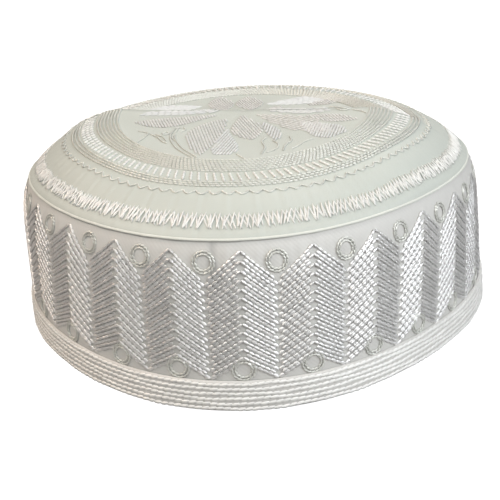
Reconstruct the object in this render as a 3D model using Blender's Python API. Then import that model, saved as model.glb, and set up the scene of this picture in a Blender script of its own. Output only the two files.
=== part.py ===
"""A white embroidered prayer cap, built from its four sewn pieces.

The cap stands on its rim, with +Z up and its front towards -Y. Each piece is a closed cloth wall:
the side band, the turned hem that wraps the band's lower edge, the piping along the seam, and
the crown panel with the crease that it was folded along. Stitches are not part of these solids.
"""

import math

import bmesh
import bpy

MM = 0.001

# Heights above the surface that the cap stands on
BAND_BOTTOM = 1.3 * MM
HEM_HEIGHT = 12.9 * MM
SEAM_HEIGHT = 59.5 * MM

# Thicknesses of the cloth walls, and the gap between neighbouring pieces
BAND_THICKNESS = 1.6 * MM
HEM_THICKNESS = 1.0 * MM
CROWN_THICKNESS = 1.8 * MM
PIPING_THICKNESS = 1.0 * MM
GAP = 0.3 * MM

# The folded edge lies between the band's top and the crown's rim
BAND_TOP = SEAM_HEIGHT - PIPING_THICKNESS / 2 - GAP
CROWN_RIM = SEAM_HEIGHT + PIPING_THICKNESS / 2 + GAP
PIPING_PROUD = 0.6 * MM

# Outer radius of the side band against height
BAND_PROFILE = (
    # height, radius
    (BAND_BOTTOM, 93.7 * MM),
    (HEM_HEIGHT, 93.4 * MM),
    (30.0 * MM, 93.0 * MM),
    (46.0 * MM, 92.3 * MM),
    (52.0 * MM, 91.4 * MM),
    (56.0 * MM, 90.2 * MM),
    (BAND_TOP, 88.8 * MM),
)

# How far the hem stands proud of the band, at its foot and at its upper edge
HEM_FOOT_PROUD = 1.3 * MM
HEM_TOP_PROUD = 1.25 * MM
HEM_EDGE_ROUNDING = 0.7 * MM

# Height of the crown's outer face against radius, before the crease lifts it
SEAM_RADIUS = 88.7 * MM
CROWN_PROFILE = (
    # radius, height
    (0.0 * MM, 71.9 * MM),
    (20.0 * MM, 72.0 * MM),
    (40.0 * MM, 72.2 * MM),
    (50.0 * MM, 72.3 * MM),
    (60.0 * MM, 71.9 * MM),
    (68.3 * MM, 71.1 * MM),
    (73.6 * MM, 69.7 * MM),
    (79.5 * MM, 66.9 * MM),
    (85.2 * MM, 62.6 * MM),
    (SEAM_RADIUS, CROWN_RIM),
)
CROWN_RING_RADII = tuple(
    radius * MM for radius in (6, 12, 19, 27, 35, 43, 51, 58, 64, 69, 74, 79, 83.5, 86.5)
)

# The crease runs nearly from side to side, and the cloth falls away steeply behind it
CREASE_SLOPE = -0.14
CREASE_RISE = 7.0 * MM
CREASE_FRONT_REACH = 66.0 * MM
CREASE_REAR_REACH = 11.0 * MM
CREASE_REAR_POWER = 1.3
CREASE_HALF_LENGTH = 82.0 * MM
CREASE_END_FADE = 34.0 * MM

# The crown stands a little higher at the back, on the ring outside the rosette
BACK_LIFT = 1.9 * MM
BACK_LIFT_FADE = 16.0 * MM
BACK_LIFT_INNER_RADIUS = 66.0 * MM
BACK_LIFT_INNER_FADE = 30.0 * MM
BACK_LIFT_INNER_SHARE = 0.2

# The plan is nearly round: deeper than wide at the rim, and a little irregular as cloth is.
# The rim flares at the right, where the band leans out.
DEPTH_RATIO_RIM = 1.05
DEPTH_RATIO_CROWN = 1.0
CROWN_HEIGHT = 73.0 * MM
ROUND_RADIUS = 45.0 * MM
PLAN_WAVES = (
    # lobes, cosine share, sine share
    (2, 0.0, 0.030),
    (3, -0.006, 0.009),
    (4, 0.016, -0.006),
)
PLAN_MEAN = 1.0 - 0.016
LEAN_X = -0.010
LEAN_Y = -0.030
FLARE = 2.2 * MM
FLARE_ANGLE = math.radians(-18.0)
FLARE_NARROWNESS = 4
FLARE_HEIGHT = 45.0 * MM
ROSETTE_DRIFT = -1.8 * MM
PLAN_SHIFT_X = -0.314 * MM
PLAN_SHIFT_Y = 0.78 * MM

# Fineness of the solids
SEGMENTS = 88


def smooth_step(value):
    """Return 0 below 0, 1 above 1, and an even curve between them."""
    value = min(max(value, 0.0), 1.0)
    return value * value * (3.0 - 2.0 * value)


def read_profile(rows, position):
    """Read a smooth curve through the rows (position, value) of a short table."""
    last = len(rows) - 1
    slopes = []
    for index in range(len(rows)):
        before = rows[max(index - 1, 0)]
        after = rows[min(index + 1, last)]
        slopes.append((after[1] - before[1]) / (after[0] - before[0]))
    index = 0
    while index < last - 1 and position > rows[index + 1][0]:
        index += 1
    start, end = rows[index], rows[index + 1]
    span = end[0] - start[0]
    t = min(max((position - start[0]) / span, 0.0), 1.0)
    return (
        (2 * t ** 3 - 3 * t ** 2 + 1) * start[1]
        + (t ** 3 - 2 * t ** 2 + t) * span * slopes[index]
        + (3 * t ** 2 - 2 * t ** 3) * end[1]
        + (t ** 3 - t ** 2) * span * slopes[index + 1]
    )


def plan_point(radius, height, angle):
    """Return the point at a nominal radius, a height and an angle round the cap."""
    cosine, sine = math.cos(angle), math.sin(angle)
    spread = min(max((radius - ROUND_RADIUS) / (SEAM_RADIUS - ROUND_RADIUS), 0.0), 1.0)
    depth = DEPTH_RATIO_RIM + (DEPTH_RATIO_CROWN - DEPTH_RATIO_RIM) * height / CROWN_HEIGHT
    depth = 1.0 + (depth - 1.0) * spread
    waves = PLAN_MEAN
    for lobes, cosine_share, sine_share in PLAN_WAVES:
        waves += cosine_share * math.cos(lobes * angle) + sine_share * math.sin(lobes * angle)
    waves = 1.0 + (waves - 1.0) * spread
    flare = max(math.cos(angle - FLARE_ANGLE), 0.0) ** FLARE_NARROWNESS
    flare *= FLARE * max(1.0 - height / FLARE_HEIGHT, 0.0)
    reach = radius * waves / math.hypot(cosine, sine / depth) + flare
    return (
        reach * cosine + LEAN_X * height + ROSETTE_DRIFT * (1.0 - spread) + PLAN_SHIFT_X,
        reach * sine + LEAN_Y * height + PLAN_SHIFT_Y,
        height,
    )


def crown_height(radius, angle):
    """Return the height of the crown's outer face, with its crease and its raised back."""
    across = radius * math.cos(angle)
    from_crease = radius * math.sin(angle) - CREASE_SLOPE * across
    if from_crease < 0.0:
        share = max(1.0 + from_crease / CREASE_FRONT_REACH, 0.0)
    else:
        share = math.exp(-((from_crease / CREASE_REAR_REACH) ** CREASE_REAR_POWER))
    along = smooth_step((CREASE_HALF_LENGTH - abs(across)) / CREASE_END_FADE)
    inner = smooth_step((BACK_LIFT_INNER_RADIUS - radius) / BACK_LIFT_INNER_FADE)
    back = smooth_step((SEAM_RADIUS - radius) / BACK_LIFT_FADE)
    back *= 1.0 - (1.0 - BACK_LIFT_INNER_SHARE) * inner
    back *= 0.5 + 0.5 * math.sin(angle)
    return read_profile(CROWN_PROFILE, radius) + BACK_LIFT * back + CREASE_RISE * share * along


def ring_angles():
    """Return the angles of the segments, one of which lies along each half of the crease."""
    start = math.atan(CREASE_SLOPE)
    return [start + 2.0 * math.pi * index / SEGMENTS for index in range(SEGMENTS)]


def level_ring(radius, height):
    """Return the points of a ring that lies at one height."""
    return [plan_point(radius, height, angle) for angle in ring_angles()]


def crown_ring(radius, drop):
    """Return the points of a ring on the crown, a drop below its outer face."""
    ring = []
    for angle in ring_angles():
        x, y, z = plan_point(radius, crown_height(radius, angle), angle)
        ring.append((x, y, z - drop))
    return ring


def add_ring(mesh, points):
    """Add a ring of vertices to a bmesh and return them."""
    return [mesh.verts.new(point) for point in points]


def bridge(mesh, first, second):
    """Join two rings of vertices with a band of faces."""
    for index in range(SEGMENTS):
        following = (index + 1) % SEGMENTS
        mesh.faces.new((first[index], first[following], second[following], second[index]))


def cap_centre(mesh, ring, point):
    """Close a ring with a fan of faces round a centre point."""
    centre = mesh.verts.new(point)
    for index in range(SEGMENTS):
        mesh.faces.new((ring[index], ring[(index + 1) % SEGMENTS], centre))


def finish_object(name, mesh, material):
    """Turn a bmesh into a named object with smooth shading and its material."""
    bmesh.ops.recalc_face_normals(mesh, faces=mesh.faces)
    bmesh.ops.triangulate(mesh, faces=mesh.faces)
    data = bpy.data.meshes.new(name)
    mesh.to_mesh(data)
    mesh.free()
    data.shade_smooth()
    data.set_sharp_from_angle(angle=math.radians(50.0))
    data.materials.append(material)
    piece = bpy.data.objects.new(name, data)
    bpy.context.scene.collection.objects.link(piece)
    return piece


def make_material(name, colour, roughness):
    """Return a plain cloth material."""
    material = bpy.data.materials.new(name)
    material.use_nodes = True
    shader = material.node_tree.nodes["Principled BSDF"]
    shader.inputs["Base Color"].default_value = (*colour, 1.0)
    shader.inputs["Roughness"].default_value = roughness
    shader.inputs["Metallic"].default_value = 0.0
    material.diffuse_color = (*colour, 1.0)
    return material


def loft_closed_section(name, rings, material):
    """Join rings into a closed ring-shaped body, the last one back to the first."""
    mesh = bmesh.new()
    loops = [add_ring(mesh, ring) for ring in rings]
    for index, loop in enumerate(loops):
        bridge(mesh, loop, loops[(index + 1) % len(loops)])
    return finish_object(name, mesh, material)


def make_side_band(material):
    """Make the upright cloth wall, from inside the hem to the seam."""
    outer = [level_ring(radius, height) for height, radius in BAND_PROFILE]
    inner = [level_ring(radius - BAND_THICKNESS, height) for height, radius in BAND_PROFILE]
    return loft_closed_section("side_band", outer + inner[::-1], material)


def make_hem_band(material):
    """Make the turned hem: an outer leg, a foot and an inner leg round the band's lower edge."""
    band_foot = BAND_PROFILE[0][1]
    band_top = read_profile(BAND_PROFILE, HEM_HEIGHT)
    foot_outer = band_foot + HEM_FOOT_PROUD
    top_outer = band_top + HEM_TOP_PROUD
    foot_inner = band_foot - BAND_THICKNESS - GAP - HEM_THICKNESS
    top_inner = band_top - BAND_THICKNESS - GAP - HEM_THICKNESS
    section = (
        # radius, height
        (foot_outer - HEM_EDGE_ROUNDING, 0.0),
        (foot_outer, HEM_EDGE_ROUNDING),
        (top_outer, HEM_HEIGHT - HEM_EDGE_ROUNDING / 2),
        (top_outer - HEM_EDGE_ROUNDING / 2, HEM_HEIGHT),
        (band_top + GAP, HEM_HEIGHT),
        (band_foot + GAP, BAND_BOTTOM - GAP),
        (band_foot - BAND_THICKNESS - GAP, BAND_BOTTOM - GAP),
        (band_top - BAND_THICKNESS - GAP, HEM_HEIGHT),
        (top_inner, HEM_HEIGHT),
        (foot_inner, HEM_EDGE_ROUNDING),
        (foot_inner + HEM_EDGE_ROUNDING / 2, 0.0),
    )
    rings = [level_ring(radius, height) for radius, height in section]
    return loft_closed_section("hem_band", rings, material)


def make_seam_piping(material):
    """Make the thin folded edge that is sewn in between the band and the crown."""
    half = PIPING_THICKNESS / 2
    inner = SEAM_RADIUS - BAND_THICKNESS
    fold = SEAM_RADIUS + PIPING_PROUD
    section = (
        # radius, height
        (inner, SEAM_HEIGHT - half),
        (fold - half, SEAM_HEIGHT - half),
        (fold, SEAM_HEIGHT),
        (fold - half, SEAM_HEIGHT + half),
        (inner, SEAM_HEIGHT + half),
    )
    rings = [level_ring(radius, height) for radius, height in section]
    return loft_closed_section("seam_piping", rings, material)


def inner_rim_radius():
    """Return the radius where the crown's inner face comes down to its rim."""
    radius = SEAM_RADIUS
    while read_profile(CROWN_PROFILE, radius) < CROWN_RIM + CROWN_THICKNESS:
        radius -= 0.05 * MM
    return radius


def make_crown_panel(material):
    """Make the top panel, a shell with its rim standing on the piping."""
    mesh = bmesh.new()
    rim_radius = inner_rim_radius()
    outer = [add_ring(mesh, crown_ring(radius, 0.0)) for radius in CROWN_RING_RADII]
    outer.append(add_ring(mesh, level_ring(SEAM_RADIUS, CROWN_RIM)))
    inner = [add_ring(mesh, level_ring(rim_radius, CROWN_RIM))]
    for radius in reversed(CROWN_RING_RADII):
        if radius < rim_radius - MM:
            inner.append(add_ring(mesh, crown_ring(radius, CROWN_THICKNESS)))
    loops = outer + inner
    for first, second in zip(loops, loops[1:]):
        bridge(mesh, first, second)
    x, y, z = plan_point(0.0, crown_height(0.0, 0.0), 0.0)
    cap_centre(mesh, outer[0], (x, y, z))
    cap_centre(mesh, inner[-1], (x, y, z - CROWN_THICKNESS))
    return finish_object("crown_panel", mesh, material)


def build_cap():
    """Build the whole cap in an empty scene."""
    for old in list(bpy.data.objects):
        bpy.data.objects.remove(old, do_unlink=True)
    make_side_band(make_material("band_cloth", (0.72, 0.71, 0.67), 0.55))
    make_hem_band(make_material("hem_cloth", (0.75, 0.74, 0.70), 0.55))
    make_seam_piping(make_material("piping_cloth", (0.80, 0.79, 0.75), 0.45))
    make_crown_panel(make_material("crown_cloth", (0.73, 0.74, 0.68), 0.5))


build_cap()
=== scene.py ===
"""Looks of a white embroidered prayer cap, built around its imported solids.

The cap stands on its rim with +Z up and its front towards -Y, in metres. Four sewn cloth pieces carry
the embroidery: the side band with its chevrons and eyelet rings, the corded hem, the piped seam and
the crown with its rings, braid, rosette and scrolls. Each stitch is a short thread laid on the cloth.
"""

import itertools
import logging
import math
from dataclasses import dataclass
from enum import Enum
from typing import Sequence

import bpy
import numpy as np
from mathutils import Matrix, Vector


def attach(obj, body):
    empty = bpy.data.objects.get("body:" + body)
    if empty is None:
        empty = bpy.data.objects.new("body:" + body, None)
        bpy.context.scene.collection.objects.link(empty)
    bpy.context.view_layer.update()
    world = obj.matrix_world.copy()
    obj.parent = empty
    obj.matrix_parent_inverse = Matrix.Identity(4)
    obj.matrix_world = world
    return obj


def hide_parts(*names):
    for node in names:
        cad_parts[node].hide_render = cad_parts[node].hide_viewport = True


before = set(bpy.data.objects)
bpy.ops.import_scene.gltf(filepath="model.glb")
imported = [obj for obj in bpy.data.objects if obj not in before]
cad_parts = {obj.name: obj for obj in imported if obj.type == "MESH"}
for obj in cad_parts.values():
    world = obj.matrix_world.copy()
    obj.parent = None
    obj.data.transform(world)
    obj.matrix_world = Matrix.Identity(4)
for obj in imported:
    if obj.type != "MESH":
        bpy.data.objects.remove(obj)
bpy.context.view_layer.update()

LOG = logging.getLogger("prayer_cap")
BODY = "root"
MM = 0.001
FULL_TURN = 2.0 * math.pi
FRONT = math.radians(270.0)
BLACK = (0.0, 0.0, 0.0)
WHITE = (1.0, 1.0, 1.0)

Array = np.ndarray
Colour = tuple[float, float, float]
Point = tuple[float, float]
Waves = tuple[tuple[int, float, float], ...]
Material = bpy.types.Material
Node = bpy.types.Node
Piece = bpy.types.Object
Socket = bpy.types.NodeSocket


class Slot(Enum):
    """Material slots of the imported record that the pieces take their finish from."""

    BAND = "band_cloth"
    HEM = "hem_cloth"
    PIPING = "piping_cloth"
    CROWN = "crown_cloth"


class Yarn(Enum):
    """The kinds of thread that the cap is embroidered with."""

    SATIN = "satin_thread"
    FINE = "fine_thread"
    LEAF = "leaf_thread"
    CORD = "hem_thread"


class Face(Enum):
    """The surfaces that a row of stitches can be laid on."""

    BAND = "band"
    HEM = "hem"
    CROWN = "crown"


def smooth_step(value: Array) -> Array:
    """Return 0 below 0, 1 above 1, and an even curve between them."""
    value = np.clip(value, 0.0, 1.0)
    return value * value * (3.0 - 2.0 * value)


def smooth_span(start: Array, end: Array, leaving: Array, arriving: Array, t: Array) -> Array:
    """Read a smooth curve between two values.

    Args:
        start: the value where t is 0.
        end: the value where t is 1.
        leaving: how steeply the curve leaves the start.
        arriving: how steeply it arrives at the end.
        t: where to read it, from 0 to 1.

    Returns:
        The values.
    """
    ending = (3 * t**2 - 2 * t**3) * end + (t**3 - t**2) * arriving
    return (2 * t**3 - 3 * t**2 + 1) * start + (t**3 - 2 * t**2 + t) * leaving + ending


def read_profile(rows: Sequence[Point], position: Array) -> Array:
    """Read a smooth curve through the rows of a short table.

    Args:
        rows: pairs of position and value, in order of position.
        position: where to read the curve.

    Returns:
        The value at each position.
    """
    at, value = np.array(rows).T
    slopes = np.empty(len(at))
    slopes[1:-1] = (value[2:] - value[:-2]) / (at[2:] - at[:-2])
    slopes[0] = (value[1] - value[0]) / (at[1] - at[0])
    slopes[-1] = (value[-1] - value[-2]) / (at[-1] - at[-2])
    position = np.asarray(position, float)
    index = np.clip(np.searchsorted(at, position, side="left") - 1, 0, len(at) - 2)
    span = at[index + 1] - at[index]
    t = np.clip((position - at[index]) / span, 0.0, 1.0)
    return smooth_span(value[index], value[index + 1], span * slopes[index], span * slopes[index + 1], t)


def smooth_line(points: Array, per_span: int) -> Array:
    """Draw a smooth line through a few points.

    Args:
        points: the points that the line passes through.
        per_span: how many points to read between each pair.

    Returns:
        The points of the smooth line.
    """
    padded = np.vstack([2 * points[0] - points[1], points, 2 * points[-1] - points[-2]])
    slopes = (padded[2:] - padded[:-2]) / 2
    t = np.arange(per_span)[:, None] / per_span
    spans = zip(points, points[1:], slopes, slopes[1:])
    return np.vstack([smooth_span(*span, t) for span in spans] + [points[-1:]])


def ripples(angle: Array, waves: Waves) -> Array:
    """Add up gentle ripples round the cap, each a number of waves, a height and a phase."""
    return sum(height * np.sin(count * angle + phase) for count, height, phase in waves)


def add_object(name: str, data: bpy.types.ID) -> Piece:
    """Put a mesh, a light or a camera in the scene.

    Args:
        name: the object's name.
        data: what it shows.

    Returns:
        The object.
    """
    piece = bpy.data.objects.new(name, data)
    bpy.context.scene.collection.objects.link(piece)
    return piece


@dataclass(frozen=True)
class CapForm:
    """The cap's own form: the same sizes and formulas that its solids are made from."""

    band_bottom: float = 1.3 * MM
    hem_height: float = 12.9 * MM
    seam_height: float = 59.5 * MM
    band_thickness: float = 1.6 * MM
    hem_thickness: float = 1.0 * MM
    crown_thickness: float = 1.8 * MM
    piping_thickness: float = 1.0 * MM
    gap: float = 0.3 * MM
    piping_proud: float = 0.6 * MM
    hem_foot_proud: float = 1.3 * MM
    hem_top_proud: float = 1.25 * MM
    hem_edge_rounding: float = 0.7 * MM
    seam_radius: float = 88.7 * MM
    crease_slope: float = -0.14
    crease_rise: float = 7.0 * MM
    crease_front_reach: float = 66.0 * MM
    crease_rear_reach: float = 11.0 * MM
    crease_rear_power: float = 1.3
    crease_half_length: float = 82.0 * MM
    crease_end_fade: float = 34.0 * MM
    crease_lip: float = 0.45 * MM
    crease_lip_width: float = 1.2 * MM
    back_lift: float = 1.9 * MM
    back_lift_fade: float = 16.0 * MM
    back_lift_inner_radius: float = 66.0 * MM
    back_lift_inner_fade: float = 30.0 * MM
    back_lift_inner_share: float = 0.2
    depth_ratio_rim: float = 1.05
    depth_ratio_crown: float = 1.0
    crown_height_scale: float = 73.0 * MM
    round_radius: float = 45.0 * MM
    plan_mean: float = 0.984
    plan_waves: Waves = ((2, 0.0, 0.030), (3, -0.006, 0.009), (4, 0.016, -0.006))
    lean_x: float = -0.010
    lean_y: float = -0.030
    flare: float = 2.2 * MM
    flare_angle: float = math.radians(-18.0)
    flare_narrowness: int = 4
    flare_height: float = 45.0 * MM
    rosette_drift: float = -1.8 * MM
    plan_shift_x: float = -0.314 * MM
    plan_shift_y: float = 0.78 * MM
    slope_step: float = 0.4 * MM

    @property
    def band_top(self) -> float:
        """Height of the band's upper edge."""
        return self.seam_height - self.piping_thickness / 2 - self.gap

    @property
    def crown_rim(self) -> float:
        """Height of the crown's lower edge."""
        return self.seam_height + self.piping_thickness / 2 + self.gap

    def band_radius(self, height: Array) -> Array:
        """Outer radius of the side band at a height.

        Args:
            height: height above the surface that the cap stands on.

        Returns:
            The radius at each height.
        """
        rows = (
            # height, radius
            (self.band_bottom, 93.7 * MM),
            (self.hem_height, 93.4 * MM),
            (30.0 * MM, 93.0 * MM),
            (46.0 * MM, 92.3 * MM),
            (52.0 * MM, 91.4 * MM),
            (56.0 * MM, 90.2 * MM),
            (self.band_top, 88.8 * MM),
        )
        return read_profile(rows, height)

    def hem_radius(self, height: Array) -> Array:
        """Outer radius of the turned hem at a height.

        Args:
            height: height above the surface that the cap stands on.

        Returns:
            The radius at each height.
        """
        share = np.clip(np.asarray(height) / self.hem_height, 0.0, 1.0)
        foot = float(self.band_radius(self.band_bottom)) + self.hem_foot_proud
        top = float(self.band_radius(self.hem_height)) + self.hem_top_proud
        return foot + (top - foot) * share

    def plan(self, radius: Array, height: Array, angle: Array) -> Array:
        """Place points by nominal radius, height and angle round the cap.

        Args:
            radius: nominal distance from the middle.
            height: height above the surface that the cap stands on.
            angle: angle round the cap, from +X towards +Y.

        Returns:
            The points, one in each row of an array.
        """
        radius, height, angle = np.broadcast_arrays(radius, height, angle)
        cosine, sine = np.cos(angle), np.sin(angle)
        spread = (radius - self.round_radius) / (self.seam_radius - self.round_radius)
        spread = np.clip(spread, 0.0, 1.0)
        depth = self.depth_ratio_crown - self.depth_ratio_rim
        depth = self.depth_ratio_rim + depth * height / self.crown_height_scale
        depth = 1.0 + (depth - 1.0) * spread
        waves = np.full(angle.shape, self.plan_mean)
        for lobes, cosine_share, sine_share in self.plan_waves:
            waves = waves + cosine_share * np.cos(lobes * angle) + sine_share * np.sin(lobes * angle)
        waves = 1.0 + (waves - 1.0) * spread
        flare = np.maximum(np.cos(angle - self.flare_angle), 0.0) ** self.flare_narrowness
        flare = flare * self.flare * np.maximum(1.0 - height / self.flare_height, 0.0)
        reach = radius * waves / np.hypot(cosine, sine / depth) + flare
        drift = self.rosette_drift * (1.0 - spread) + self.plan_shift_x
        x = reach * cosine + self.lean_x * height + drift
        y = reach * sine + self.lean_y * height + self.plan_shift_y
        return np.stack([x, y, height], axis=-1)

    def crown_height(self, radius: Array, angle: Array) -> Array:
        """Height of the crown's outer face, with its crease and its raised back.

        Args:
            radius: nominal distance from the middle.
            angle: angle round the cap.

        Returns:
            The height at each point.
        """
        rows = (
            # radius, height
            (0.0 * MM, 71.9 * MM),
            (20.0 * MM, 72.0 * MM),
            (40.0 * MM, 72.2 * MM),
            (50.0 * MM, 72.3 * MM),
            (60.0 * MM, 71.9 * MM),
            (68.3 * MM, 71.1 * MM),
            (73.6 * MM, 69.7 * MM),
            (79.5 * MM, 66.9 * MM),
            (85.2 * MM, 62.6 * MM),
            (self.seam_radius, self.crown_rim),
        )
        across = radius * np.cos(angle)
        from_crease = radius * np.sin(angle) - self.crease_slope * across
        before = np.maximum(1.0 + from_crease / self.crease_front_reach, 0.0)
        behind = np.maximum(from_crease, 0.0) / self.crease_rear_reach
        share = np.where(from_crease < 0.0, before, np.exp(-(behind**self.crease_rear_power)))
        along = smooth_step((self.crease_half_length - np.abs(across)) / self.crease_end_fade)
        inner = smooth_step((self.back_lift_inner_radius - radius) / self.back_lift_inner_fade)
        back = smooth_step((self.seam_radius - radius) / self.back_lift_fade)
        back = back * (1.0 - (1.0 - self.back_lift_inner_share) * inner)
        back = back * (0.5 + 0.5 * np.sin(angle))
        lip = self.crease_lip * np.exp(-((from_crease / self.crease_lip_width) ** 2))
        rise = (self.crease_rise * share + lip) * along
        return read_profile(rows, radius) + self.back_lift * back + rise

    def crease_nearness(self, place: Vector) -> float:
        """Return how near a point lies to the crease.

        Args:
            place: the point.

        Returns:
            1 on the crease, falling to 0 beside it and at its ends.
        """
        across = place.x - self.rosette_drift - self.lean_x * place.z
        away = place.y - self.lean_y * place.z - self.plan_shift_y - self.crease_slope * across
        along = float(smooth_step((self.crease_half_length - abs(across)) / self.crease_end_fade))
        return along * math.exp(-((away / self.crease_lip_width) ** 2))

    def on_face(self, face: Face, u: Array, v: Array) -> Array:
        """Place points on one of the cap's outer surfaces.

        Args:
            face: the surface.
            u: angle round the cap, or for the crown the nominal x.
            v: height, or for the crown the nominal y.

        Returns:
            The points, one in each row of an array.
        """
        if face is Face.CROWN:
            radius, angle = np.hypot(u, v), np.arctan2(v, u)
            return self.plan(radius, self.crown_height(radius, angle), angle)
        radius = self.band_radius(v) if face is Face.BAND else self.hem_radius(v)
        return self.plan(radius, v, u)

    def laid(self, face: Face, u: Array, v: Array, lift: Array) -> tuple[Array, Array]:
        """Place points on a surface, with the surface's direction at each.

        Args:
            face: the surface.
            u: angle round the cap, or for the crown the nominal x.
            v: height, or for the crown the nominal y.
            lift: how far each point stands off the surface.

        Returns:
            The points and the outward directions.
        """
        step = self.slope_step
        step_u = step if face is Face.CROWN else step / self.seam_radius
        across = self.on_face(face, u + step_u, v) - self.on_face(face, u - step_u, v)
        along = self.on_face(face, u, v + step) - self.on_face(face, u, v - step)
        outward = np.cross(across, along)
        outward /= np.linalg.norm(outward, axis=-1, keepdims=True)
        lift = np.broadcast_to(lift, np.shape(u))
        return self.on_face(face, u, v) + outward * lift[..., None], outward


class NodeTree:
    """A small helper that places nodes in a tree and fills their inputs."""

    def __init__(self, tree: bpy.types.NodeTree) -> None:
        """Keep the tree that the nodes go into."""
        self.tree = tree

    def feed(self, socket: Socket, source: object) -> None:
        """Fill an input.

        Args:
            socket: the input.
            source: a socket, a node that gives its first output, or a value; a colour is three numbers.
        """
        if isinstance(source, bpy.types.Node):
            source = source.outputs[0]
        if isinstance(source, bpy.types.NodeSocket):
            self.tree.links.new(source, socket)
        else:
            socket.default_value = (*source, 1.0) if socket.type == "RGBA" else source

    def add(self, kind: str, inputs: dict[str | int, object] | None = None, **settings: object) -> Node:
        """Place a node.

        Args:
            kind: the node's kind.
            inputs: what goes into its inputs, by name or by place.
            **settings: the node's own settings.

        Returns:
            The node.
        """
        node = self.tree.nodes.new(kind)
        for name, value in settings.items():
            setattr(node, name, value)
        for name, source in (inputs or {}).items():
            self.feed(node.inputs[name], source)
        return node

    def add_socket(self, name: str, kind: str, side: str = "INPUT") -> object:
        """Give a node group a named input or output."""
        return self.tree.interface.new_socket(name=name, in_out=side, socket_type="NodeSocket" + kind)

    def number(self, operation: str, first: object, second: object = 0.0) -> Socket:
        """Work with one or two numbers."""
        return self.add("ShaderNodeMath", {0: first, 1: second}, operation=operation).outputs[0]

    def weigh(self, first: object, weight: float, rest: object) -> Socket:
        """Multiply a number by its weight and add the rest."""
        return self.number("ADD", self.number("MULTIPLY", first, weight), rest)

    def vector(self, operation: str, first: object, second: object = BLACK) -> Node:
        """Work with one or two vectors."""
        return self.add("ShaderNodeVectorMath", {0: first, 1: second}, operation=operation)

    def scaled(self, vector: object, scale: object) -> Node:
        """Make a vector longer or shorter."""
        return self.add("ShaderNodeVectorMath", {"Vector": vector, "Scale": scale}, operation="SCALE")

    def group(self, tree: bpy.types.NodeTree, **inputs: object) -> bpy.types.NodeOutputs:
        """Place a shared group, fill its inputs and return its outputs."""
        return self.add("ShaderNodeGroup", inputs, node_tree=tree).outputs

    def attribute(self, name: str) -> bpy.types.NodeOutputs:
        """Read what a mesh holds under a name, for a material."""
        return self.add("ShaderNodeAttribute", attribute_name=name).outputs

    def blend(self, share: Socket, low: object, high: object) -> Socket:
        """Mix two colours.

        Args:
            share: how much of the second colour.
            low: the first colour.
            high: the second colour.

        Returns:
            The mixed colour.
        """
        mix = self.add("ShaderNodeMix", {"Factor": share}, data_type="RGBA")
        colours = [socket for socket in mix.inputs if socket.type == "RGBA"]
        for socket, colour in zip(colours, (low, high)):
            self.feed(socket, colour)
        return next(socket for socket in mix.outputs if socket.type == "RGBA")


@dataclass(frozen=True)
class Thread:
    """One laid stitch: its run along the row (0 for the row's own steps), width and height."""

    length: float
    width: float
    height: float
    overlap: float = 1.2
    jitter: float = 0.06
    slant: float = 0.0
    seed: int = 1


class RowBook:
    """A collection of rows laid on the cap, which stitches follow."""

    def __init__(self, form: CapForm) -> None:
        """Start with no rows.

        Args:
            form: the cap's form, which the rows lie on.
        """
        self.form = form
        self.points: list[Array] = []
        self.normals: list[Array] = []

    def add(self, face: Face, u: Array, v: Array, lift: Array, closed: bool = False) -> None:
        """Lay one row on a surface.

        Args:
            face: the surface.
            u: angles, or for the crown nominal x.
            v: heights, or for the crown nominal y.
            lift: how far the row stands off the surface.
            closed: whether the row's end meets its start.
        """
        points, normals = self.form.laid(face, np.asarray(u), np.asarray(v), lift)
        if closed:
            points, normals = (np.vstack([row, row[:1]]) for row in (points, normals))
        self.points.append(points)
        self.normals.append(normals)

    def add_round(self, radius: Array, angle: Array, lift: float, closed: bool = False) -> None:
        """Lay one row on the crown by nominal radius and angle."""
        self.add(Face.CROWN, radius * np.cos(angle), radius * np.sin(angle), lift, closed)

    def guide(self, name: str) -> Piece:
        """Return an object of loose edges that carries the rows and the surface's direction.

        Args:
            name: the object's name.

        Returns:
            The object.
        """
        edges = []
        start = 0
        for row in self.points:
            edges += [(start + step, start + step + 1) for step in range(len(row) - 1)]
            start += len(row)
        mesh = bpy.data.meshes.new(name)
        mesh.from_pydata(np.vstack(self.points).tolist(), edges, [])
        normals = mesh.attributes.new("surface_normal", "FLOAT_VECTOR", "POINT")
        normals.data.foreach_set("vector", np.vstack(self.normals).astype(np.float32).ravel())
        return add_object(name, mesh)


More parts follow.
